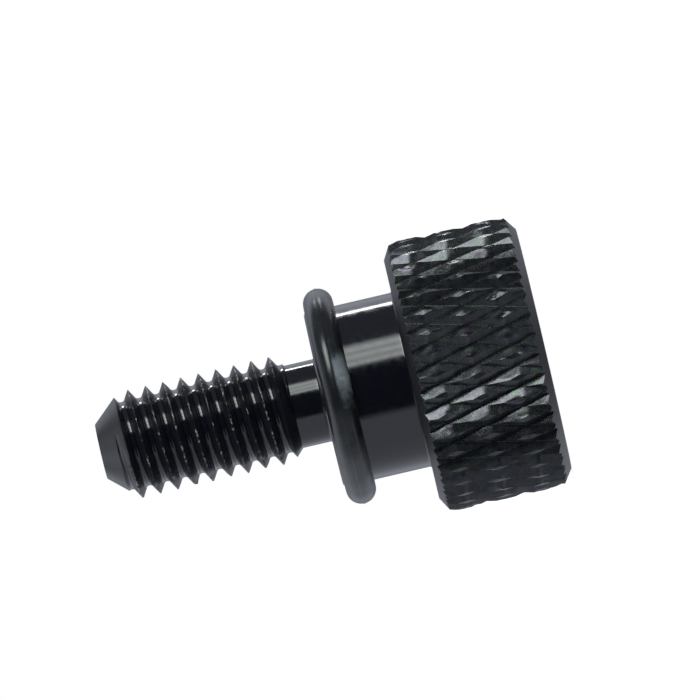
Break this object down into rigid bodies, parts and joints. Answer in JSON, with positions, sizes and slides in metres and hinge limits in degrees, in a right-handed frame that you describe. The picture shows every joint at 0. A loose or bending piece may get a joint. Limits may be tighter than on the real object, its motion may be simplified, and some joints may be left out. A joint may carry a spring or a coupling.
{
  "type": "thumb screw",
  "caption": "Knurled round-head thumb screw with a plain shoulder, a rubber O-ring near its end, a thin neck and a short metric thread.",
  "frame": {"origin": "middle of the flat end of the head, on the screw's axis", "axes": "+Z along the axis from the head to the tip; +X points to where the crests of the thread were measured, upwards in the picture; the picture looks along +Y"},
  "size_m": [0.0122, 0.0122, 0.0201],
  "materials": {
    "black_anodised": "gloss",
    "black_rubber": "satin"
  },
  "bodies": {
    "root": {"screw": "black_anodised", "o_ring": "black_rubber"}
  },
  "joints": []
}
